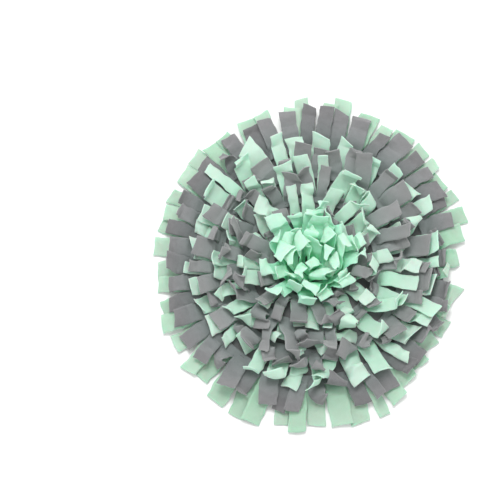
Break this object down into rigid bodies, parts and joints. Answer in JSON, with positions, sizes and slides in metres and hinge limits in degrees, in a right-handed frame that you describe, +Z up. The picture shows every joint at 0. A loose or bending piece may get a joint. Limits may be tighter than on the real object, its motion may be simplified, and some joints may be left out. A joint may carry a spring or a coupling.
{
  "type": "snuffle mat",
  "caption": "Round snuffle mat: rings of slit fleece ribbons in two colours, sewn to a felt-backed disc with a bound edge, in which dry food is hidden for a pet to sniff out.",
  "frame": {"origin": "middle of the flat underside, where the mat rests", "axes": "+Z up through the fringe; +Y towards the edge that the picture shows at the top"},
  "size_m": [0.453, 0.4774, 0.0667],
  "materials": {
    "mint_fleece": "soft brushed polyester fleece",
    "grey_fleece": "soft brushed polyester fleece",
    "backing_felt": "needled felt with a grid of rubber anti-slip dots",
    "ground_cloth": "matt plain-woven cloth",
    "binding_tape": "matt woven tape"
  },
  "bodies": {
    "root": {"felt_backing": "backing_felt", "ground_cloth": "ground_cloth", "edge_binding": "binding_tape", "fringe_1_mint": "mint_fleece", "fringe_1_grey": "grey_fleece", "fringe_2_mint": "mint_fleece", "fringe_2_grey": "grey_fleece", "fringe_3_mint": "mint_fleece", "fringe_3_grey": "grey_fleece", "fringe_4_mint": "mint_fleece", "fringe_4_grey": "grey_fleece", "tuft_outer": "mint_fleece", "tuft_middle": "mint_fleece", "tuft_inner": "mint_fleece"}
  },
  "joints": []
}
